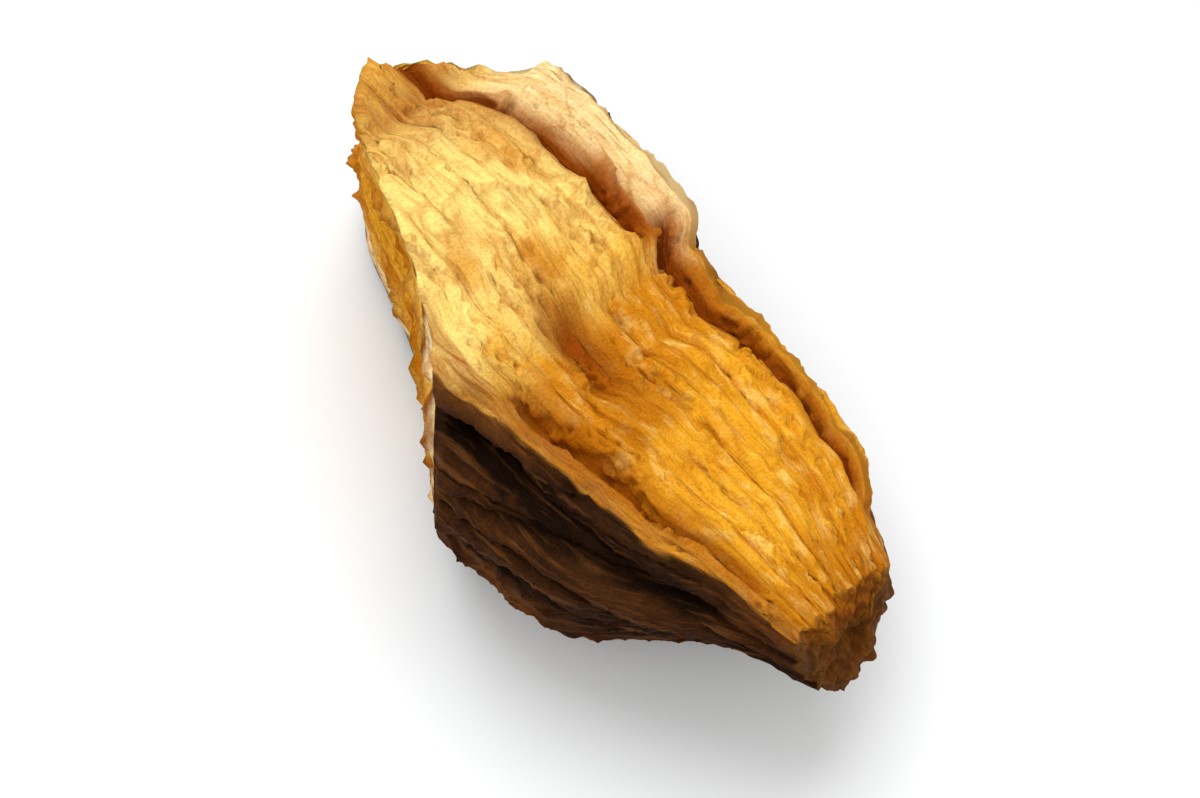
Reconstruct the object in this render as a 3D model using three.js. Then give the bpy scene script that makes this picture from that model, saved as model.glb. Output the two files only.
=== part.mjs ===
// A dried chip of dandelion root, cut across at one end, broken off blunt at the other and split lengthwise.
// The split face looks up and shows the inner tissue, and wrinkled bark covers the rest.
// +X runs along the root to its thin end, +Y is the side that the split face leans to, and +Z is up.

import * as THREE from 'three';
import { mergeVertices } from 'three/addons/utils/BufferGeometryUtils.js';

const { clamp, degToRad, lerp, smoothstep } = THREE.MathUtils;

// Driving dimensions, in millimetres
const HALF_LENGTH = 2.95;
const ROOT_RADIUS = 1.5;
const SPLIT_ROLL = degToRad(20);
const SPLIT_PITCH = degToRad(8);
const REST_PRESS = 0.27;

// At places along X: the bark's radius and the bend of the axis to +Y, as shares of ROOT_RADIUS
const RADIUS_ALONG = [
  [-3, 1.01], [-1.2, 1.03], [0.3, 0.99], [1.1, 0.89], [1.7, 0.73], [2.2, 0.55], [2.6, 0.44], [3, 0.35],
];
const BEND_ALONG = [[-3, 0], [1, 0], [1.7, 0.06], [2.3, 0.05], [3, 0.02]];

// At places along X: the split face's height over the axis, as a share of the bark's radius there
const SPLIT_ALONG = [[-3, 0.56], [1, 0.55], [2.3, 0.42], [3, 0.36]];

// At places across the root, from the near side to the far one: how far each end reaches along X.
// The thin end also leans back, by this share of the height over the axis.
const CUT_END = [
  [-1.6, -0.1], [-0.85, -0.85], [-0.3, -1.7], [0.05, -2.55], [0.6, -HALF_LENGTH], [1.5, -2.2],
];
const THIN_END = [[-1.6, 2.75], [-0.5, 2.8], [0.1, 2.75], [0.8, 2.55], [1.6, 2.5]];
const THIN_LEAN = 0.3;
const END_ROUGHNESS = 0.05;
const END_WAVES = { across: 6, up: 5 };

// Relief of the split face: a low crown, fibres, a groove along each side, a pit and a fold across
const FACE_CROWN = 0.1;
const FACE_FIBRES = [
  { count: 9, height: 0.016, drift: 0.8 },
  { count: 14, height: 0.014, drift: -1.3 },
];
const FIBRE_WANDER = { amount: 0.6, waves: 3 };
const GROOVES = [
  { across: 0.165, drift: -0.035, from: -3, to: -0.75, wide: 0.035, depth: 0.16 },
  { across: 0.1, drift: -0.015, from: -0.45, to: 1.9, wide: 0.035, depth: 0.16 },
  { across: 0.87, drift: 0, from: -0.1, to: 2.1, wide: 0.03, depth: 0.14 },
];
const PIT = { x: -0.22, across: 0.58, long: 0.42, wide: 0.07, depth: 0.12 };
const FOLD = { x: 0.25, slant: 0.9, soft: 0.2, height: 0.06 };
const RIM_FADE = 0.06;

// Relief of the bark: furrows along it, lumps, a deep furrow under the near rim, a hollow that deepens along
// the near flank, and a flap that spreads at each rim
const WRINKLES = [
  { count: 7, drift: 0.4, depth: 0.13 },
  { count: 11, drift: -0.7, depth: 0.08 },
];
const WANDER = { amount: 0.1, along: 1.7, around: 2.3 };
const LUMPS = { height: 0.05, along: 1.9, around: 2, phase: -1.7 };
const RIM_FURROW = { after: 0.2, wide: 0.11, depth: 0.24, from: -0.7, to: 1.9 };
const HOLLOW = { angle: 3.45, wide: 0.6, depth: 0.36, from: 0.5, to: 2.1 };
const FAR_FLAP = { from: -2.2, to: -0.6, wide: 0.3, reach: 0.22 };
const NEAR_FLAP = { from: -0.9, to: -0.6, wide: 0.2, reach: 0.15 };
const FADE = 0.3;

// Rows and columns of the surface
const FACE_COLUMNS = 40;
const BARK_COLUMNS = 60;
const CUT_ROWS = 6;
const BODY_ROWS = 34;
const THIN_ROWS = 3;
const COLUMNS = FACE_COLUMNS + BARK_COLUMNS;
const ROWS = CUT_ROWS + BODY_ROWS + THIN_ROWS;
const SETTLING_PASSES = 4;

const FULL_TURN = 2 * Math.PI;
const SPLIT_FACING = FULL_TURN / 4 - SPLIT_ROLL;

// A smooth curve through [place, value] points, which keeps its end values beyond them
function along(points, place) {
  const last = points.length - 1;
  const x = clamp(place, points[0][0], points[last][0]);
  let i = 0;
  while (i < last - 1 && x > points[i + 1][0]) {
    i += 1;
  }
  const slope = (k) => {
    const before = points[Math.max(k - 1, 0)];
    const after = points[Math.min(k + 1, last)];
    return (after[1] - before[1]) / (after[0] - before[0]);
  };
  const [x0, y0] = points[i];
  const [x1, y1] = points[i + 1];
  const span = x1 - x0;
  const t = (x - x0) / span;
  const eased = lerp(y0, y1, t * t * (3 - 2 * t));
  return eased + span * t * (1 - t) * ((1 - t) * slope(i) - t * slope(i + 1));
}

// 1 at the centre, falling away to 0 over about twice the width
function bell(x, centre, width) {
  return Math.exp(-(((x - centre) / width) ** 2));
}

// 1 between two places along X, fading out beyond them
function stretch(x, from, to) {
  return smoothstep(x, from - FADE, from) * (1 - smoothstep(x, to, to + FADE));
}

// 1 along a line at one angle round the root, over a stretch of its length
function ridge({ wide, from, to }, angle, centre, x) {
  return bell(angle, centre, wide) * stretch(x, from, to);
}

function plainRadius(x) {
  return ROOT_RADIUS * along(RADIUS_ALONG, x);
}

// The angles at which the split face meets the bark, far rim first
function rims(x) {
  const half = Math.acos(along(SPLIT_ALONG, x));
  return [SPLIT_FACING - half, SPLIT_FACING + half];
}

// The bark's distance from the axis
function barkRadius(angle, x) {
  const radius = plainRadius(x);
  const slimmer = radius / ROOT_RADIUS;
  const [far, near] = rims(x);
  const wander = WANDER.amount * Math.sin(WANDER.along * x + WANDER.around * angle);
  let relief = LUMPS.height * Math.sin(LUMPS.around * angle + LUMPS.along * x + LUMPS.phase);
  for (const { count, drift, depth } of WRINKLES) {
    relief -= depth * (1 - Math.abs(Math.sin(count * (angle + wander) + drift * x))) ** 2;
  }
  relief -= RIM_FURROW.depth * ridge(RIM_FURROW, angle, near + RIM_FURROW.after, x);
  const hollow = bell(angle, HOLLOW.angle, HOLLOW.wide) * smoothstep(x, HOLLOW.from, HOLLOW.to);
  relief -= HOLLOW.depth * hollow;
  const flaps = FAR_FLAP.reach * ridge(FAR_FLAP, angle, far + FULL_TURN, x)
    + NEAR_FLAP.reach * ridge(NEAR_FLAP, angle, near, x);
  return radius + slimmer * relief + flaps;
}

function barkPoint(angle, x) {
  const radius = barkRadius(angle, x);
  return new THREE.Vector2(radius * Math.cos(angle), radius * Math.sin(angle));
}

// The height of the split face over a straight line from rim to rim, 0 at both rims
function faceRelief(across, x) {
  const dome = Math.sin(Math.PI * across);
  let relief = FACE_CROWN * dome;
  for (const { count, height, drift } of FACE_FIBRES) {
    const wander = FIBRE_WANDER.amount * Math.sin(FIBRE_WANDER.waves * drift * x);
    relief += height * Math.sin(FULL_TURN * count * across + drift * x + wander);
  }
  for (const groove of GROOVES) {
    relief -= groove.depth * ridge(groove, across, groove.across + groove.drift * x, x);
  }
  relief -= PIT.depth * bell(x, PIT.x, PIT.long) * bell(across, PIT.across, PIT.wide);
  const foldX = FOLD.x + FOLD.slant * Math.abs(across - 0.5);
  relief += FOLD.height * dome * (smoothstep(x, foldX - FOLD.soft, foldX) - 0.5);
  return relief * smoothstep(across, 0, RIM_FADE) * (1 - smoothstep(across, 1 - RIM_FADE, 1));
}

// A point of the root's section at x. Columns count from the far rim, over the face and round the bark.
function sectionPoint(column, x) {
  const [far, near] = rims(x);
  if (column >= FACE_COLUMNS) {
    const round = (column - FACE_COLUMNS) / BARK_COLUMNS;
    return barkPoint(lerp(near, far + FULL_TURN, round), x);
  }
  const across = column / FACE_COLUMNS;
  const point = barkPoint(far + FULL_TURN, x).lerp(barkPoint(near, x), across);
  const relief = faceRelief(across, x);
  point.x += relief * Math.cos(SPLIT_FACING);
  point.y += relief * Math.sin(SPLIT_FACING);
  return point;
}

// The axis drops along +X with the split face, and keeps its depth under that face
function axisHeight(x) {
  return -Math.tan(SPLIT_PITCH) * x - along(SPLIT_ALONG, x) * plainRadius(x) / Math.cos(SPLIT_ROLL);
}

// A point of the surface: run goes from 0 at the cut end to 1 at the thin one, and spread from 0 at the axis
// to 1 outside. The ends slant, so x depends on the place across, which depends on x, and a few passes
// settle both.
function surfacePoint(column, run, spread) {
  const rough = END_ROUGHNESS * (1 - spread ** 2);
  let x = lerp(-HALF_LENGTH, HALF_LENGTH, run);
  let point;
  for (let pass = 0; pass < SETTLING_PASSES; pass += 1) {
    point = sectionPoint(column, x).multiplyScalar(spread);
    x = lerp(along(CUT_END, point.x), along(THIN_END, point.x) - THIN_LEAN * point.y, run);
    x += rough * Math.sin(END_WAVES.across * point.x) * Math.cos(END_WAVES.up * point.y);
  }
  return new THREE.Vector3(x, point.x + ROOT_RADIUS * along(BEND_ALONG, x), point.y + axisHeight(x));
}

// A sphere's rows and columns, laid over the cut end, along the root and over the thin end
function chipGeometry() {
  const geometry = new THREE.SphereGeometry(1, COLUMNS, ROWS);
  const { position, uv } = geometry.attributes;
  for (let i = 0; i < position.count; i += 1) {
    const column = Math.round(uv.getX(i) * COLUMNS) % COLUMNS;
    const row = Math.round(uv.getY(i) * ROWS);
    const run = clamp((row - CUT_ROWS) / BODY_ROWS, 0, 1);
    const spread = Math.min(row / CUT_ROWS, (ROWS - row) / THIN_ROWS, 1);
    const { x, y, z } = surfacePoint(column, run, spread);
    position.setXYZ(i, x, y, z);
  }
  geometry.deleteAttribute('normal');
  geometry.deleteAttribute('uv');
  return mergeVertices(geometry);
}

// The belly is pressed flat where the chip lies, and the origin goes under the middle of the chip
function restOnFloor(geometry) {
  geometry.computeBoundingBox();
  const floor = geometry.boundingBox.min.z + REST_PRESS;
  const { position } = geometry.attributes;
  for (let i = 0; i < position.count; i += 1) {
    position.setZ(i, Math.max(position.getZ(i), floor));
  }
  geometry.computeBoundingBox();
  const middle = geometry.boundingBox.getCenter(new THREE.Vector3());
  geometry.translate(-middle.x, -middle.y, -floor);
  geometry.computeVertexNormals();
  return geometry;
}

const tissue = new THREE.MeshStandardMaterial({ color: 0xd9a04a, roughness: 0.8, metalness: 0 });
const chip = new THREE.Mesh(restOnFloor(chipGeometry()), tissue);
chip.name = 'root_chip';

const dandelionRoot = new THREE.Group();
dandelionRoot.name = 'dandelion_root';
dandelionRoot.add(chip);

export default dandelionRoot;
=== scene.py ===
"""Looks of a dried chip of dandelion root, split lengthwise, lying with its golden inner face up."""

import math
from types import SimpleNamespace

import bpy
import numpy as np
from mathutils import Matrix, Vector, noise


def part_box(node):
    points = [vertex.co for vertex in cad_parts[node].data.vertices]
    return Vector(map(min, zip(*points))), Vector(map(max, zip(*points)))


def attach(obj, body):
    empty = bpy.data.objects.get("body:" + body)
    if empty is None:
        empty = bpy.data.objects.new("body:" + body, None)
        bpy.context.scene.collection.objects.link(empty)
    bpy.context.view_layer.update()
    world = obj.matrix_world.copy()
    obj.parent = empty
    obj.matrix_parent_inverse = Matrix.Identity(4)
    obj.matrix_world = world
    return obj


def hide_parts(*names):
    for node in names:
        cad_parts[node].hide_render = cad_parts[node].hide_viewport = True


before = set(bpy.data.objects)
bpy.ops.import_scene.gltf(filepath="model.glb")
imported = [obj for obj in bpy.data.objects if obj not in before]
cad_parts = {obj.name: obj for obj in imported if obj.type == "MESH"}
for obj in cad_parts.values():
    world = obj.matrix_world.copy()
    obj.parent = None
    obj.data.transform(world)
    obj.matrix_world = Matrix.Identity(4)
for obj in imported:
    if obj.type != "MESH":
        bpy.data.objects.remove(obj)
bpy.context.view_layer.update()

MM = 0.001
FULL_TURN = 2 * math.pi

# Shape of the chip, in millimetres, with the same values as its solid
HALF_LENGTH = 2.95
ROOT_RADIUS = 1.5
SPLIT_ROLL = math.radians(20)
SPLIT_PITCH = math.radians(8)
SPLIT_FACING = FULL_TURN / 4 - SPLIT_ROLL
FACING = np.array((math.cos(SPLIT_FACING), math.sin(SPLIT_FACING)))
RADIUS_ALONG = [
    (-3, 1.01), (-1.2, 1.03), (0.3, 0.99), (1.1, 0.89), (1.7, 0.73), (2.2, 0.55), (2.6, 0.44), (3, 0.35),
]
BEND_ALONG = [(-3, 0), (1, 0), (1.7, 0.06), (2.3, 0.05), (3, 0.02)]
SPLIT_ALONG = [(-3, 0.56), (1, 0.55), (2.3, 0.42), (3, 0.36)]
CUT_END = [(-1.6, -0.1), (-0.85, -0.85), (-0.3, -1.7), (0.05, -2.55), (0.6, -HALF_LENGTH), (1.5, -2.2)]
THIN_END = [(-1.6, 2.75), (-0.5, 2.8), (0.1, 2.75), (0.8, 2.55), (1.6, 2.5)]
THIN_LEAN = 0.3
END_ROUGHNESS = 0.05
END_WAVES = {"across": 6, "up": 5}
FACE_CROWN = 0.1
FACE_FIBRES = [
    {"count": 9, "height": 0.016, "drift": 0.8},
    {"count": 14, "height": 0.014, "drift": -1.3},
]
FIBRE_WANDER = {"amount": 0.6, "waves": 3}
GROOVES = [
    {"across": 0.165, "drift": -0.035, "start": -3, "end": -0.75, "wide": 0.035, "depth": 0.16},
    {"across": 0.1, "drift": -0.015, "start": -0.45, "end": 1.9, "wide": 0.035, "depth": 0.16},
    {"across": 0.87, "drift": 0, "start": -0.1, "end": 2.1, "wide": 0.03, "depth": 0.14},
]
PIT = {"x": -0.22, "across": 0.58, "long": 0.42, "wide": 0.07, "depth": 0.12}
FOLD = {"x": 0.25, "slant": 0.9, "soft": 0.2, "height": 0.06}
RIM_FADE = 0.06
WRINKLES = [
    {"count": 7, "drift": 0.4, "depth": 0.13},
    {"count": 11, "drift": -0.7, "depth": 0.08},
]
WANDER = {"amount": 0.1, "along": 1.7, "around": 2.3}
LUMPS = {"height": 0.05, "along": 1.9, "around": 2, "phase": -1.7}
RIM_FURROW = {"after": 0.2, "wide": 0.11, "depth": 0.24, "start": -0.7, "end": 1.9}
HOLLOW = {"angle": 3.45, "wide": 0.6, "depth": 0.36, "start": 0.5, "end": 2.1}
FAR_FLAP = {"start": -2.2, "end": -0.6, "wide": 0.3, "reach": 0.22}
NEAR_FLAP = {"start": -0.9, "end": -0.6, "wide": 0.2, "reach": 0.15}
FADE = 0.3
SETTLING_PASSES = 4

# Rows and columns of the fine surface
FACE_COLUMNS = 170
BARK_COLUMNS = 230
CUT_ROWS = 26
BODY_ROWS = 176
THIN_ROWS = 14
COLUMNS = FACE_COLUMNS + BARK_COLUMNS
ROWS = CUT_ROWS + BODY_ROWS + THIN_ROWS
FACE_WIDTH = 2.5


def clamp01(value):
    return np.clip(value, 0, 1)


def smoothstep(x, low, high):
    t = clamp01((x - low) / (high - low))
    return t * t * (3 - 2 * t)


def mix(a, b, share):
    return a + (b - a) * share


def along(points, place):
    """A smooth curve through (place, value) points, which keeps its end values beyond them."""
    places, values = np.array(points, float).T
    last = len(places) - 1
    before = np.maximum(np.arange(last + 1) - 1, 0)
    after = np.minimum(np.arange(last + 1) + 1, last)
    slopes = (values[after] - values[before]) / (places[after] - places[before])
    x = np.clip(place, places[0], places[-1])
    i = np.clip(np.searchsorted(places, x) - 1, 0, last - 1)
    span = places[i + 1] - places[i]
    t = (x - places[i]) / span
    eased = mix(values[i], values[i + 1], t * t * (3 - 2 * t))
    return eased + span * t * (1 - t) * ((1 - t) * slopes[i] - t * slopes[i + 1])


def bell(x, centre, width):
    return np.exp(-(((x - centre) / width) ** 2))


def stretch(x, start, end):
    return smoothstep(x, start - FADE, start) * (1 - smoothstep(x, end, end + FADE))


def ridge(line, place, centre, x):
    """1 along a line at one place round or across the root, over a stretch of its length."""
    return bell(place, centre, line["wide"]) * stretch(x, line["start"], line["end"])


def plain_radius(x):
    return ROOT_RADIUS * along(RADIUS_ALONG, x)


def rims(x):
    """The angles at which the split face meets the bark, far rim first."""
    half = np.arccos(along(SPLIT_ALONG, x))
    return SPLIT_FACING - half, SPLIT_FACING + half


def bark_relief(angle, x):
    """Lumps, furrows, the near rim's furrow and the near flank's hollow, in millimetres."""
    _, near = rims(x)
    wander = WANDER["amount"] * np.sin(WANDER["along"] * x + WANDER["around"] * angle)
    relief = LUMPS["height"] * np.sin(LUMPS["around"] * angle + LUMPS["along"] * x + LUMPS["phase"])
    for wrinkle in WRINKLES:
        wave = np.abs(np.sin(wrinkle["count"] * (angle + wander) + wrinkle["drift"] * x))
        relief = relief - wrinkle["depth"] * (1 - wave) ** 2
    relief = relief - RIM_FURROW["depth"] * ridge(RIM_FURROW, angle, near + RIM_FURROW["after"], x)
    hollow = bell(angle, HOLLOW["angle"], HOLLOW["wide"]) * smoothstep(x, HOLLOW["start"], HOLLOW["end"])
    return relief - HOLLOW["depth"] * hollow


def bark_radius(angle, x):
    far, near = rims(x)
    radius = plain_radius(x)
    flaps = FAR_FLAP["reach"] * ridge(FAR_FLAP, angle, far + FULL_TURN, x)
    flaps = flaps + NEAR_FLAP["reach"] * ridge(NEAR_FLAP, angle, near, x)
    return radius + radius / ROOT_RADIUS * bark_relief(angle, x) + flaps


def bark_point(angle, x):
    radius = bark_radius(angle, x)
    return np.stack((radius * np.cos(angle), radius * np.sin(angle)), axis=-1)


def groove_line(groove, x):
    """Where a groove runs across the face."""
    return groove["across"] + groove["drift"] * x


def spot(mark, across, x):
    """1 at a place on the face, falling away along it and across it."""
    return bell(x, mark["x"], mark["long"]) * bell(across, mark["across"], mark["wide"])


def face_relief(across, x):
    """The height of the split face over a straight line from rim to rim, 0 at both rims."""
    dome = np.sin(math.pi * across)
    relief = FACE_CROWN * dome
    for fibre in FACE_FIBRES:
        drift = fibre["drift"] * x
        wander = FIBRE_WANDER["amount"] * np.sin(FIBRE_WANDER["waves"] * drift)
        relief = relief + fibre["height"] * np.sin(FULL_TURN * fibre["count"] * across + drift + wander)
    for groove in GROOVES:
        relief = relief - groove["depth"] * ridge(groove, across, groove_line(groove, x), x)
    relief = relief - PIT["depth"] * spot(PIT, across, x)
    fold_x = FOLD["x"] + FOLD["slant"] * np.abs(across - 0.5)
    relief = relief + FOLD["height"] * dome * (smoothstep(x, fold_x - FOLD["soft"], fold_x) - 0.5)
    return relief * smoothstep(across, 0, RIM_FADE) * (1 - smoothstep(across, 1 - RIM_FADE, 1))


def section(column, x):
    """Points of the root's section. Columns count from the far rim, over the face and round the bark."""
    far, near = rims(x)
    across = clamp01(column / FACE_COLUMNS)
    angle = mix(near, far + FULL_TURN, clamp01((column - FACE_COLUMNS) / BARK_COLUMNS))
    face = mix(bark_point(far + FULL_TURN, x), bark_point(near, x), across[:, None])
    face = face + face_relief(across, x)[:, None] * FACING
    return np.where((column < FACE_COLUMNS)[:, None], face, bark_point(angle, x)), across, angle


def axis_height(x):
    return -math.tan(SPLIT_PITCH) * x - along(SPLIT_ALONG, x) * plain_radius(x) / math.cos(SPLIT_ROLL)


def surface_points(column, run, spread):
    """Points of the surface, in millimetres, with their place across the face, their angle round the axis
    and their place in the section as shares of its radius.

    run goes from 0 at the cut end to 1 at the thin one, and spread from 0 at the axis to 1 outside.
    """
    rough = END_ROUGHNESS * (1 - spread**2)
    x = mix(-HALF_LENGTH, HALF_LENGTH, run)
    for _ in range(SETTLING_PASSES):
        points, across, angle = section(column, x)
        points = points * spread[:, None]
        x = mix(along(CUT_END, points[:, 0]), along(THIN_END, points[:, 0]) - THIN_LEAN * points[:, 1], run)
        x = x + rough * np.sin(END_WAVES["across"] * points[:, 0]) * np.cos(END_WAVES["up"] * points[:, 1])
    y = points[:, 0] + ROOT_RADIUS * along(BEND_ALONG, x)
    z = points[:, 1] + axis_height(x)
    return np.stack((x, y, z), axis=-1), across, angle, points / plain_radius(x)[:, None]


# Fine relief of the surface, in millimetres: noise with its waves per millimetre along and across the grain.
# Bark, ends and far rim lie apart in the noise, and each seed has a step of its own.
BARK_GRAIN = 10
END_GRAIN = 20
FAR_RIM_GRAIN = 5
SEED_STEP = 7.3
FACE_LAYERS = [
    {"along": 2.2, "across": 3, "seed": 3, "height": 0.025},
    {"along": 6, "across": 8, "seed": 5, "height": 0.016},
    {"along": 12, "across": 26, "seed": 2, "height": 0.008},
]
FACE_SPLITS = [
    {"along": 0.9, "across": 7, "seed": 1, "sharp": 6, "depth": 0.03},
    {"along": 1.8, "across": 17, "seed": 7, "sharp": 5, "depth": 0.016},
    {"along": 1.3, "across": 2.6, "seed": 6, "sharp": 12, "depth": 0.04},
]
TORN = {"along": 0.9, "across": 2.4, "seed": 4, "edge": 0.08, "soft": 0.03, "height": 0.05, "fray": 0.4}
BARK_LAYERS = [
    {"along": 0.9, "across": 3.2, "seed": 11, "height": 0.03},
    {"along": 3.5, "across": 9, "seed": 12, "height": 0.022},
    {"along": 12, "across": 20, "seed": 13, "height": 0.01},
]
BARK_FURROWS = [
    {"along": 1.1, "across": 5, "seed": 14, "sharp": 5, "depth": 0.05},
    {"along": 2.4, "across": 12, "seed": 16, "sharp": 5, "depth": 0.025},
    {"along": 2.8, "across": 1.3, "seed": 15, "sharp": 9, "depth": 0.035},
    {"along": 9, "across": 5, "seed": 17, "sharp": 9, "depth": 0.018},
]
END_LAYERS = [
    {"along": 4, "across": 4, "seed": 21, "height": 0.05},
    {"along": 9, "across": 9, "seed": 22, "height": 0.025},
    {"along": 22, "across": 22, "seed": 23, "height": 0.01},
]
END_RINGS = {"waves": 9, "height": 0.014}
RING_WOBBLE = [
    {"along": 1.1, "across": 1.1, "seed": 24, "height": 0.06},
    {"along": 4, "across": 4, "seed": 25, "height": 0.02},
]
END_CRACKS = {"along": 0.7, "across": 3, "seed": 26, "sharp": 22, "depth": 0.09}
CRACKED = (0.2, 0.5)
AXIS_GUARD = 0.01
EDGE_CALM = {"run": 0.03, "spread": 0.8, "share": 0.2}
RAGGED_TIP = [
    {"waves": 2.5, "seed": 31, "height": 0.2},
    {"waves": 6, "seed": 35, "height": 0.1},
    {"waves": 15, "seed": 36, "height": 0.035},
]
RAGGED_FROM = 0.85
RIM_CHIPS = [
    {"along": 2.2, "across": 1, "seed": 32, "height": 0.06},
    {"along": 7, "across": 1, "seed": 33, "height": 0.035},
]
RIM_WIDTH = 0.12
FINE_RIM_FADE = 0.05
CREST_LOW, CREST_HIGH = -0.2, 0.05
SKIN_FRAY = {"along": 3.2, "across": 3, "seed": 34, "height": 0.035}

# Where the colours lie: how far the face's bands slant, the brown corner by the cut end, the stains round the
# pit and grooves, the painted shade on the thin end's lower part, the painted highlight between the far
# grooves, the strips of another colour along the rims, and where bark starts at them
LENGTH_SLANT = 0.12
CORNER = {"x": -2.6, "across": 0.42, "long": 0.4, "wide": 0.2}
LINE_WIDTH = 0.036
HALO_WIDTH = 0.065
STAIN_FRAY = [
    {"along": 1.2, "across": 1, "seed": 42, "height": 0.012},
    {"along": 3, "across": 20, "seed": 43, "height": 0.01},
]
# Painted shade: where the thin end's break turns darker towards its lower part
LOW_END_SHADE = {"low": 0.2, "high": 0.6}
STAIN_SHIFT = -0.012
FAR_LINES_MEET = (-0.75, -0.45)
FAR_RIM_SHARE = 0.4
FAR_STRIP_SOFT = 0.035
NEAR_STRIP = (0.87, 0.91)
NEAR_SKIN = (0.97, 0.985)
GROOVE_DARKNESS = (1.4, 1.4, 0.5)
BLOTCH = {"x": -0.05, "across": 0.57, "long": 0.6, "wide": 0.1}
# A painted highlight: a cream spot between the far grooves
PAINTED_HIGHLIGHT = {"x": -0.45, "across": 0.07, "long": 0.18, "wide": 0.06}
FAR_SKIN = (0.12, 0.2)
FAR_SKIN_FRAY = [
    {"along": 2.5, "across": 1, "seed": 44, "height": 0.08},
    {"along": 9, "across": 6, "seed": 45, "height": 0.04},
]


def noise_at(points):
    return np.array([noise.noise(Vector(p)) for p in points.tolist()])


def grain_noise(grain, layer):
    """Noise drawn out along the grain, from -1 to 1."""
    scale = np.array((layer["along"], layer["across"], layer["across"]))
    return noise_at(grain * scale + (0, 0, SEED_STEP * layer["seed"]))


def summed_layers(grain, layers):
    return sum(layer["height"] * grain_noise(grain, layer) for layer in layers)


def furrows(grain, layer):
    """Sharp-bottomed furrows where the noise changes sign, from 0 to -depth."""
    return -layer["depth"] * np.exp(-layer["sharp"] * np.abs(grain_noise(grain, layer)))


def face_detail(grain):
    """Relief of torn fibres, with plates of tissue that stay a layer higher, and how deep its splits are."""
    fray = TORN["fray"] * grain_noise(grain, FACE_LAYERS[2])
    plates = smoothstep(grain_noise(grain, TORN) + fray, TORN["edge"], TORN["edge"] + TORN["soft"])
    splits = [furrows(grain, layer) for layer in FACE_SPLITS]
    relief = summed_layers(grain, FACE_LAYERS) + sum(splits)
    # How deep the splits are, as a share, which the material paints as shade in the splits
    shade = np.max([split / -layer["depth"] for split, layer in zip(splits, FACE_SPLITS)], axis=0)
    return relief + TORN["height"] * (plates - 0.5), shade


def bark_detail(grain):
    return summed_layers(grain, BARK_LAYERS) + sum(furrows(grain, layer) for layer in BARK_FURROWS)


def chip_grid():
    """Column, run and spread of every vertex: rings from the cut end on, then the two end points."""
    rows = np.append(np.repeat(np.arange(1, ROWS), COLUMNS), (0, ROWS))
    columns = np.append(np.tile(np.arange(COLUMNS), ROWS - 1), (0, 0))
    run = clamp01((rows - CUT_ROWS) / BODY_ROWS)
    spread = np.minimum(np.minimum(rows / CUT_ROWS, (ROWS - rows) / THIN_ROWS), 1)
    return columns, run, spread


def chip_faces():
    rings = ROWS - 1
    here = np.arange(COLUMNS)
    beside = (here + 1) % COLUMNS
    faces = []
    for ring in range(rings - 1):
        low, high = ring * COLUMNS, (ring + 1) * COLUMNS
        faces += np.stack((low + here, high + here, high + beside, low + beside), axis=-1).tolist()
    cut_point, thin_point = rings * COLUMNS, rings * COLUMNS + 1
    last = (rings - 1) * COLUMNS
    faces += [(cut_point, a, b) for a, b in zip(here.tolist(), beside.tolist())]
    faces += [(thin_point, last + b, last + a) for a, b in zip(here.tolist(), beside.tolist())]
    return faces


def vertex_normals(points, faces):
    mesh = bpy.data.meshes.new("normals")
    mesh.from_pydata(points.tolist(), [], faces)
    normals = np.zeros(len(points) * 3)
    mesh.vertex_normals.foreach_get("vector", normals)
    bpy.data.meshes.remove(mesh)
    return normals.reshape(-1, 3)


def shift_to_node(points, node):
    """The way, in millimetres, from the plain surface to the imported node, by the middles and tops of both."""
    low, high = (np.array(corner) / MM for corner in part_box(node))
    shift = (low + high) / 2 - (points.min(0) + points.max(0)) / 2
    shift[2] = high[2] - points[:, 2].max()
    return shift


def stain(groove, width, across, x):
    """1 along a groove, fading to either side."""
    middle = groove_line(groove, x) + STAIN_SHIFT
    return bell(across, middle, width) * stretch(x, groove["start"], groove["end"])


def set_attribute(mesh, name, values):
    kind = "FLOAT_VECTOR" if values.ndim == 2 else "FLOAT"
    attribute = mesh.attributes.new(name, kind, "POINT")
    attribute.data.foreach_set("vector" if values.ndim == 2 else "value", values.astype(np.float32).ravel())


def find_places():
    """The plain surface, point by point: where each point is, and on which side of the chip it lies."""
    column, run, spread = chip_grid()
    points, across, angle, seat = surface_points(column, run, spread)
    x = points[:, 0].copy()
    far, near = rims(x)
    on_end = spread < 1
    on_face = (column < FACE_COLUMNS) & ~on_end
    lateral = np.where(on_face, across * FACE_WIDTH, angle * ROOT_RADIUS)
    grain = np.stack((x, lateral, np.where(on_face, 0, BARK_GRAIN)), axis=-1)
    grain[on_end] = points[on_end] + END_GRAIN
    return SimpleNamespace(
        points=points, x=x, run=run, spread=spread, across=across, angle=angle, seat=seat, grain=grain,
        on_end=on_end, on_face=on_face, on_bark=~on_face & ~on_end,
        on_far_side=np.where(on_face, across < 0.5, angle > (near + far + FULL_TURN) / 2),
        face_gap=FACE_WIDTH * np.minimum(across, 1 - across),
        bark_gap=ROOT_RADIUS * np.minimum(angle - near, far + FULL_TURN - angle),
    )


def cut_end_marks(p):
    """Growth rings, as shares of the radius out from the axis, and how deep the cracks across them are."""
    out = np.hypot(p.seat[:, 0], p.seat[:, 1])
    ring = out + summed_layers(p.grain, RING_WOBBLE)
    spokes = np.column_stack((out, p.seat / np.maximum(out, AXIS_GUARD)[:, None]))
    cracks = furrows(spokes, END_CRACKS) * smoothstep(out, *CRACKED) * (p.run < 0.5)
    return ring, cracks


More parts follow.
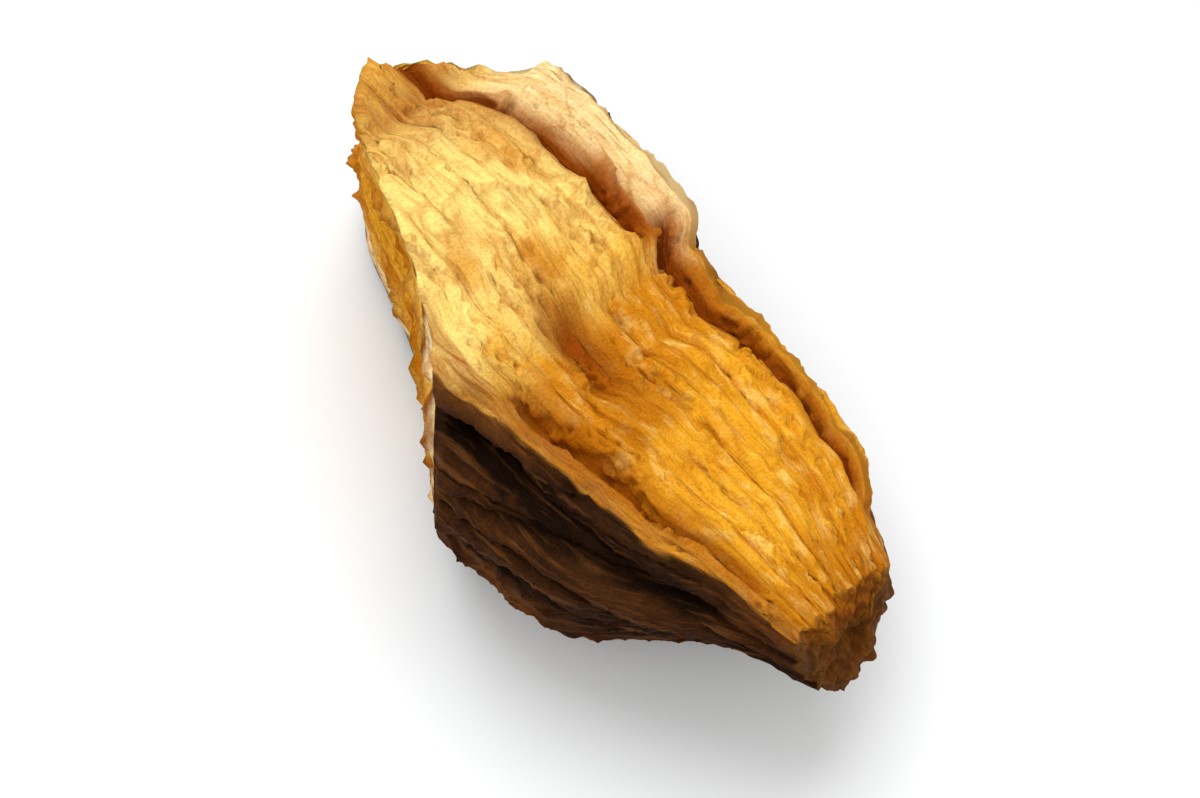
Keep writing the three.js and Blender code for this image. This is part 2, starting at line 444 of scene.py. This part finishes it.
def fine_relief(p, torn, bark_fine, ring, cracks):
    """How far each point of the plain surface moves out, in millimetres, calmer at the edges of the ends."""
    end_fine = summed_layers(p.grain, END_LAYERS) + cracks
    end_fine = end_fine + END_RINGS["height"] * np.sin(FULL_TURN * END_RINGS["waves"] * ring)
    detail = np.where(p.on_face, torn, np.where(p.on_bark, bark_fine, end_fine))
    in_from_edge = (1 - p.spread) / (1 - EDGE_CALM["spread"])
    in_from_end = np.minimum(p.run, 1 - p.run) / EDGE_CALM["run"]
    calm = mix(EDGE_CALM["share"], 1, smoothstep(np.where(p.on_end, in_from_edge, in_from_end), 0, 1))
    rim_fade = smoothstep(p.across, 0, FINE_RIM_FADE) * (1 - smoothstep(p.across, 1 - FINE_RIM_FADE, 1))
    detail = detail * np.where(p.on_face, rim_fade, calm)
    along_rim = np.stack((p.x, FAR_RIM_GRAIN * p.on_far_side, np.zeros_like(p.x)), axis=-1)
    at_rim = bell(np.where(p.on_face, p.face_gap, p.bark_gap), 0, RIM_WIDTH) * ~p.on_end
    detail = detail + at_rim * summed_layers(along_rim, RIM_CHIPS)
    return detail * plain_radius(p.x) / ROOT_RADIUS


def colour_places(p, in_split, bark_fine, ring, cracks):
    """The values that the material reads at each point."""
    stained = p.across + summed_layers(p.grain, STAIN_FRAY)
    line = spot(PIT, stained, p.x)
    halo = spot(BLOTCH, stained, p.x)
    for darkness, groove in zip(GROOVE_DARKNESS, GROOVES):
        line = line + darkness * stain(groove, LINE_WIDTH, stained, p.x)
        halo = halo + stain(groove, HALO_WIDTH, stained, p.x)
    across = np.where(p.on_bark & p.on_far_side, 0, p.across)
    meeting = smoothstep(p.x, *FAR_LINES_MEET)
    far_line = mix(groove_line(GROOVES[0], p.x), groove_line(GROOVES[1], p.x), meeting)
    far_strip = 1 - smoothstep(across - far_line, -FAR_STRIP_SOFT, 0)
    flap = stretch(p.x, FAR_FLAP["start"], FAR_FLAP["end"])
    frayed = across + SKIN_FRAY["height"] * grain_noise(p.grain, SKIN_FRAY)
    far_skin = smoothstep(p.bark_gap + summed_layers(p.grain, FAR_SKIN_FRAY), *FAR_SKIN)
    skin = np.where(p.on_face, smoothstep(frayed, *NEAR_SKIN), np.where(p.on_far_side, far_skin, 1))
    crest = (bark_relief(p.angle, p.x) + bark_fine - CREST_LOW) / (CREST_HIGH - CREST_LOW)
    return {
        "grain": p.grain,
        "length": (p.x + HALF_LENGTH) / (2 * HALF_LENGTH) + LENGTH_SLANT * (0.5 - across),
        "bark": np.where(p.on_end, 0, skin),
        "end": p.on_end.astype(float),
        "ring": ring,
        "crest": clamp01(crest),
        "line": clamp01(line),
        "halo": clamp01(halo),
        # Cream along the far flap, and a painted highlight between the far grooves
        "cream_and_highlight": np.maximum(far_strip * flap, spot(PAINTED_HIGHLIGHT, p.across, p.x)),
        "rim": np.maximum(smoothstep(across, *NEAR_STRIP), FAR_RIM_SHARE * far_strip * (1 - flap)),
        "corner": spot(CORNER, across, p.x),
        # Painted shade: how deep the face's splits and the cut end's cracks are
        "crease_shade": np.where(p.on_end, -cracks / END_CRACKS["depth"], in_split),
        # Painted shade on the lower part of the thin end's break
        "low": 1 - smoothstep(p.seat @ FACING, LOW_END_SHADE["low"], LOW_END_SHADE["high"]),
    }


def make_chip():
    p = find_places()
    faces = chip_faces()
    torn, in_split = face_detail(p.grain)
    bark_fine = bark_detail(p.grain)
    ring, cracks = cut_end_marks(p)
    relief = fine_relief(p, torn, bark_fine, ring, cracks)
    points = p.points + relief[:, None] * vertex_normals(p.points, faces)
    over_section = points * (0, 1, 1)
    for layer in RAGGED_TIP:
        waves = noise_at(over_section * layer["waves"] + layer["seed"])
        points[:, 0] += layer["height"] * waves * smoothstep(p.run, RAGGED_FROM, 1)
    points = points + shift_to_node(p.points, "root_chip")
    points[:, 2] = np.maximum(points[:, 2], 0)

    mesh = bpy.data.meshes.new("root_chip_surface")
    mesh.from_pydata((points * MM).tolist(), [], faces)
    mesh.shade_smooth()
    for name, values in colour_places(p, in_split, bark_fine, ring, cracks).items():
        set_attribute(mesh, name, values)
    chip = bpy.data.objects.new("root_chip_surface", mesh)
    bpy.context.collection.objects.link(chip)
    return chip


# Colours, linear
PALE = (0.97, 0.72, 0.22)
STRAW = (0.86, 0.51, 0.08)
ORANGE = (0.62, 0.24, 0.006)
GOLD = (0.83, 0.4, 0.018)
RUST = (0.4, 0.115, 0.001)
BROWN = (0.16, 0.036, 0.001)
GROOVE_BROWN = (0.27, 0.055, 0.0005)
CREAM = (0.96, 0.74, 0.38)
PINK_TAN = (0.34, 0.13, 0.025)
CORNER_BROWN = (0.4, 0.13, 0.01)
BARK_FURROW_SHADE = (0.011, 0.004, 0.001)
BARK_DARK = (0.06, 0.019, 0.004)
BARK_BROWN = (0.15, 0.05, 0.008)
BARK_DUST = (0.27, 0.1, 0.024)
FLOOR = (0.85, 0.87, 0.89)
SKY = (1, 0.98, 0.95)

# Bands of colour: along the face from the cut end, out from the axis on that end, and on the bark by height
FACE_BANDS = [
    (0.0, STRAW), (0.12, PALE), (0.3, PALE), (0.4, STRAW), (0.48, ORANGE),
    (0.55, ORANGE), (0.64, GOLD), (0.8, GOLD), (0.9, ORANGE), (1.0, RUST),
]
END_BANDS = [(0, GOLD), (0.26, GOLD), (0.33, RUST), (0.4, ORANGE), (0.7, STRAW), (0.77, BROWN), (0.83, CREAM)]
# On the bark the bands go near black down in the furrows, as painted shade, and dusty on the ridges
BARK_BANDS = [(0.1, BARK_FURROW_SHADE), (0.45, BARK_DARK), (0.8, BARK_BROWN), (1, BARK_DUST)]
BAND_SWAY = 0.28
BARK_SWAY = 0.6

# Sheen, light under the surface, and the finest relief
SPECULAR = 0.05
UNDER_SURFACE = {"weight": 0.2, "radius": (1, 0.4, 0.1), "scale": 0.15 * MM}
BUMP = {"strength": 0.7, "distance": 0.03 * MM, "on_bark": 2}
FLOOR_ROUGHNESS = 0.9


class Shader:
    """A material's nodes, added by short calls that return output sockets."""

    def __init__(self, name):
        self.material = bpy.data.materials.new(name)
        self.material.use_nodes = True
        self.tree = self.material.node_tree
        self.surface = self.tree.nodes["Principled BSDF"]

    def node(self, kind, inputs=(), **settings):
        made = self.tree.nodes.new(kind)
        for name, value in settings.items():
            setattr(made, name, value)
        for name, value in dict(inputs).items():
            self.set(made.inputs[name], value)
        return made

    def set(self, socket, value):
        if isinstance(value, bpy.types.NodeSocket):
            self.tree.links.new(value, socket)
        elif socket.type == "RGBA" and len(value) == 3:
            socket.default_value = (*value, 1)
        else:
            socket.default_value = value

    def attribute(self, name, output="Fac"):
        return self.node("ShaderNodeAttribute", attribute_name=name).outputs[output]

    def math(self, operation, a, b=0.0):
        made = self.node("ShaderNodeMath", operation=operation)
        self.set(made.inputs[0], a)
        self.set(made.inputs[1], b)
        return made.outputs[0]

    def plus(self, a, b):
        return self.math("ADD", a, b)

    def times(self, a, b):
        return self.math("MULTIPLY", a, b)

    def swayed(self, value, noise, amount):
        """A value that noise shifts up and down."""
        return self.plus(value, self.times(self.math("SUBTRACT", noise, 0.5), amount))

    def scaled(self, vector, scale):
        made = self.node("ShaderNodeVectorMath", operation="MULTIPLY")
        self.set(made.inputs[0], vector)
        self.set(made.inputs[1], scale)
        return made.outputs[0]

    def noise(self, vector, scale, detail=3.0, rough=0.55):
        inputs = {"Vector": self.scaled(vector, scale), "Scale": 1.0, "Detail": detail, "Roughness": rough}
        return self.node("ShaderNodeTexNoise", inputs).outputs["Fac"]

    def range(self, value, low, high, to_low=0.0, to_high=1.0):
        inputs = {"Value": value, "From Min": low, "From Max": high, "To Min": to_low, "To Max": to_high}
        return self.node("ShaderNodeMapRange", inputs, interpolation_type="SMOOTHSTEP").outputs["Result"]

    def mix(self, share, a, b, blend="MIX"):
        made = self.node("ShaderNodeMix", data_type="RGBA", blend_type=blend)
        self.set(made.inputs[0], share)
        self.set(made.inputs[6], a)
        self.set(made.inputs[7], b)
        return made.outputs[2]

    def ramp(self, value, stops):
        made = self.node("ShaderNodeValToRGB", {"Fac": value})
        elements = made.color_ramp.elements
        while len(elements) < len(stops):
            elements.new(1.0)
        for element, (place, colour) in zip(elements, stops):
            element.position = place
            element.color = (*colour, 1)
        return made.outputs["Color"]


def grain_noises(s):
    """Noises drawn out along the grain, from broad patches to grit."""
    grain = s.attribute("grain", "Vector")
    return SimpleNamespace(
        fibres=s.noise(grain, (1.6, 22, 22), 4),
        fine_fibres=s.noise(grain, (5, 70, 70), 3),
        patches=s.noise(grain, (1.3, 2, 2), 4),
        crumple=s.noise(grain, (3.5, 7, 7), 4),
        speckle=s.noise(grain, (12, 18, 18), 3),
        grit=s.noise(grain, (45, 55, 55), 2),
    )


def face_colour(s, n, place):
    """Golden bands and patches, the rims' strips, a painted highlight between the far grooves, painted shade in
    the splits, and dark stains along the grooves.
    """
    face = s.ramp(place, FACE_BANDS)
    face = s.mix(s.range(n.crumple, 0.5, 0.68, 0, 0.45), face, PALE)
    face = s.mix(s.range(n.patches, 0.5, 0.66, 0, 0.65), face, ORANGE)
    corner = s.times(s.attribute("corner"), s.range(n.patches, 0.35, 0.55, 0.5, 1))
    face = s.mix(corner, face, CORNER_BROWN)
    rim = s.times(s.attribute("rim"), s.range(n.fibres, 0.35, 0.6, 0.95, 0.45))
    face = s.mix(rim, face, PINK_TAN)
    # Cream along the far flap, and a painted highlight between the far grooves
    cream_and_highlight = s.times(s.attribute("cream_and_highlight"), s.range(n.speckle, 0.3, 0.6, 1, 0.7))
    face = s.mix(cream_and_highlight, face, CREAM)
    # Painted shade: orange-brown darkening in the splits of the face
    face = s.mix(s.range(s.attribute("crease_shade"), 0.6, 1, 0, 0.45), face, RUST)
    face = s.mix(s.range(n.fibres, 0.55, 0.75, 0, 0.5), face, RUST)
    face = s.mix(s.range(n.fine_fibres, 0.55, 0.75, 0, 0.3), face, PALE)
    halo = s.times(s.attribute("halo"), s.range(n.fibres, 0.3, 0.6, 0.7, 1))
    face = s.mix(halo, face, RUST)
    line = s.times(s.attribute("line"), s.range(n.fibres, 0.2, 0.55, 0.8, 1))
    return s.mix(line, face, GROOVE_BROWN)


def end_colour(s, n, place):
    """The cut end with its rings and cracks, painted shade in the cracks, and the thin end's rough brown break,
    with painted shade on its lower part.
    """
    ring = s.attribute("ring")
    waves = s.math("SINE", s.times(ring, FULL_TURN * END_RINGS["waves"]))
    lines = s.times(s.range(waves, -1, 0.2, 0.5, 0), s.range(n.crumple, 0.35, 0.6, 0.2, 1))
    cut = s.mix(lines, s.ramp(ring, END_BANDS), RUST)
    # Painted shade: brown darkening in the cracks of the cut end
    cut = s.mix(s.range(s.attribute("crease_shade"), 0.3, 1, 0, 0.7), cut, BROWN)
    cut = s.mix(s.range(n.speckle, 0.48, 0.68, 0.1, 0.6), cut, RUST)
    broken = s.mix(s.range(n.speckle, 0.35, 0.6), RUST, BROWN)
    # Painted shade: the thin end's break goes darker towards its lower part
    low = s.times(s.attribute("low"), s.range(n.crumple, 0.35, 0.6, 1, 0.75))
    broken = s.mix(low, broken, BARK_DARK)
    return s.mix(s.range(place, 0.6, 0.8, 0, 0.95), cut, broken)


def bark_colour(s, n):
    """Brown by height, near black down in the furrows as painted shade, darker in patches and dusty along the
    fibres.
    """
    # Painted shade: the bark goes near black where its relief is lowest
    bark = s.ramp(s.swayed(s.attribute("crest"), n.speckle, BARK_SWAY), BARK_BANDS)
    bark = s.mix(s.range(n.patches, 0.4, 0.65, 0.0, 0.45), bark, BARK_DARK)
    return s.mix(s.range(n.fibres, 0.5, 0.7, 0, 0.35), bark, BARK_DUST)


def fine_bump(s, n):
    """Relief finer than the mesh, stronger on the bark."""
    relief = s.plus(s.times(n.fine_fibres, 0.6), s.times(n.speckle, 0.5))
    relief = s.plus(s.plus(relief, s.times(n.grit, 0.5)), n.fibres)
    relief = s.times(relief, s.range(s.attribute("bark"), 0, 1, 1, BUMP["on_bark"]))
    inputs = {"Strength": BUMP["strength"], "Distance": BUMP["distance"], "Height": relief}
    return s.node("ShaderNodeBump", inputs).outputs["Normal"]


def root_material():
    s = Shader("dried_root")
    n = grain_noises(s)
    place = s.swayed(s.attribute("length"), n.patches, BAND_SWAY)
    inside = s.mix(s.attribute("end"), face_colour(s, n, place), end_colour(s, n, place))
    colour = s.mix(s.attribute("bark"), inside, bark_colour(s, n))
    colour = s.mix(s.range(n.grit, 0.35, 0.6, 0.25, 0), colour, s.mix(1.0, colour, RUST, "MULTIPLY"))
    s.set(s.surface.inputs["Base Color"], colour)
    s.set(s.surface.inputs["Roughness"], s.range(n.speckle, 0.3, 0.7, 0.6, 0.85))
    s.set(s.surface.inputs["Specular IOR Level"], SPECULAR)
    s.set(s.surface.inputs["Normal"], fine_bump(s, n))
    s.set(s.surface.inputs["Subsurface Weight"], UNDER_SURFACE["weight"])
    s.set(s.surface.inputs["Subsurface Radius"], UNDER_SURFACE["radius"])
    s.set(s.surface.inputs["Subsurface Scale"], UNDER_SURFACE["scale"])
    return s.material


def floor_material():
    s = Shader("pale_floor")
    s.set(s.surface.inputs["Base Color"], FLOOR)
    s.set(s.surface.inputs["Roughness"], FLOOR_ROUGHNESS)
    return s.material


# Studio, in metres: where the camera and lights stand round the chip
VIEW_AZIMUTH = math.radians(45)
VIEW_ELEVATION = math.radians(70)
LENS_MM = 300
SENSOR_MM = 36
FRAME_WIDTH = 9.4 * MM
FLOOR_SIZE = 0.8
KEY = {"azimuth": 232, "elevation": 60, "distance": 0.25, "size": 0.24, "power": 0.46}
FILL = {"azimuth": 20, "elevation": 60, "distance": 0.3, "size": 0.3, "power": 0.12}
WORLD_STRENGTH = 0.79


def direction(azimuth, elevation):
    """Towards a viewer at that azimuth and elevation. Azimuth 0 looks along +Y."""
    flat = math.cos(elevation)
    return Vector((math.sin(azimuth) * flat, -math.cos(azimuth) * flat, math.sin(elevation)))


def aim(thing, target):
    thing.rotation_euler = (target - thing.location).to_track_quat("-Z", "Y").to_euler()


def add_light(name, light, target):
    data = bpy.data.lights.new(name, "AREA")
    data.shape = "DISK"
    data.size = light["size"]
    data.energy = light["power"]
    lamp = bpy.data.objects.new(name, data)
    bpy.context.collection.objects.link(lamp)
    way = direction(math.radians(light["azimuth"]), math.radians(light["elevation"]))
    lamp.location = target + way * light["distance"]
    aim(lamp, target)


def add_studio(target):
    half = FLOOR_SIZE / 2
    mesh = bpy.data.meshes.new("floor")
    corners = [(-half, -half, 0), (half, -half, 0), (half, half, 0), (-half, half, 0)]
    mesh.from_pydata(corners, [], [(0, 1, 2, 3)])
    mesh.materials.append(floor_material())
    floor = bpy.data.objects.new("floor", mesh)
    bpy.context.collection.objects.link(floor)
    add_light("key", KEY, target)
    add_light("fill", FILL, target)
    world = bpy.data.worlds.new("studio")
    world.use_nodes = True
    background = world.node_tree.nodes["Background"]
    background.inputs["Color"].default_value = (*SKY, 1)
    background.inputs["Strength"].default_value = WORLD_STRENGTH
    bpy.context.scene.world = world
    bpy.context.scene.view_settings.view_transform = "Standard"


def add_camera(target):
    data = bpy.data.cameras.new("camera")
    data.lens = LENS_MM
    data.sensor_width = SENSOR_MM
    distance = FRAME_WIDTH * LENS_MM / SENSOR_MM
    data.clip_start = distance / 100
    data.clip_end = distance * 20
    camera = bpy.data.objects.new("camera", data)
    bpy.context.collection.objects.link(camera)
    camera.location = target + direction(VIEW_AZIMUTH, VIEW_ELEVATION) * distance
    aim(camera, target)
    bpy.context.scene.camera = camera


chip = make_chip()
chip.data.materials.append(root_material())
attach(chip, "root")
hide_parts("root_chip")

node_low, node_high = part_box("root_chip")
chip_middle = (node_low + node_high) / 2
add_studio(chip_middle)
add_camera(chip_middle)
